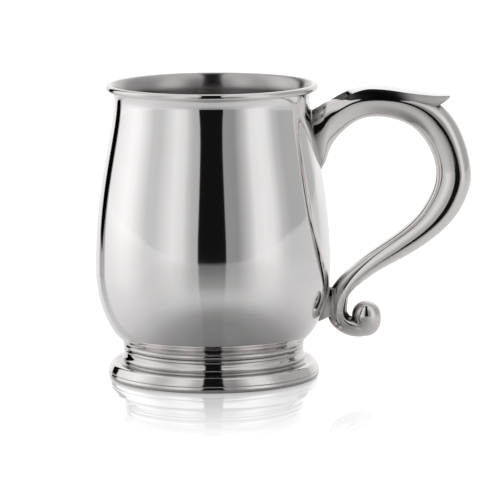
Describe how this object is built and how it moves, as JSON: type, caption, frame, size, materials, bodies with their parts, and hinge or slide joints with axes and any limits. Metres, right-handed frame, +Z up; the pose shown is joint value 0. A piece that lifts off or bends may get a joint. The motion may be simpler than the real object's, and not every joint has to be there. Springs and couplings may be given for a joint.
{
  "type": "pewter tankard",
  "caption": "Lidless pewter tankard: bellied body with wired lip, stepped hollow foot, hollow scroll handle with thumb leaf and ball end.",
  "frame": {"origin": "centre of the standing ring under the foot, on the axis of the body, in the plane the foot rests on", "axes": "+Z up along the body axis to the mouth, +X from the body axis towards the handle, +Y completes the frame; the handle's middle plane is y = 0"},
  "size_m": [0.1543, 0.0966, 0.1207],
  "materials": {
    "body_pewter": "polished outside, satin inside",
    "foot_pewter": "polished",
    "cast_pewter": "polished casting",
    "solder": "satin solder"
  },
  "bodies": {
    "root": {"body_shell": "body_pewter", "lip_wire": "body_pewter", "foot_ring": "foot_pewter", "foot_solder": "solder", "handle_half_left": "cast_pewter", "handle_half_right": "cast_pewter", "thumb_leaf": "cast_pewter", "scroll_ball": "cast_pewter", "lower_lug": "cast_pewter", "upper_solder": "solder", "lower_solder": "solder"}
  },
  "joints": []
}
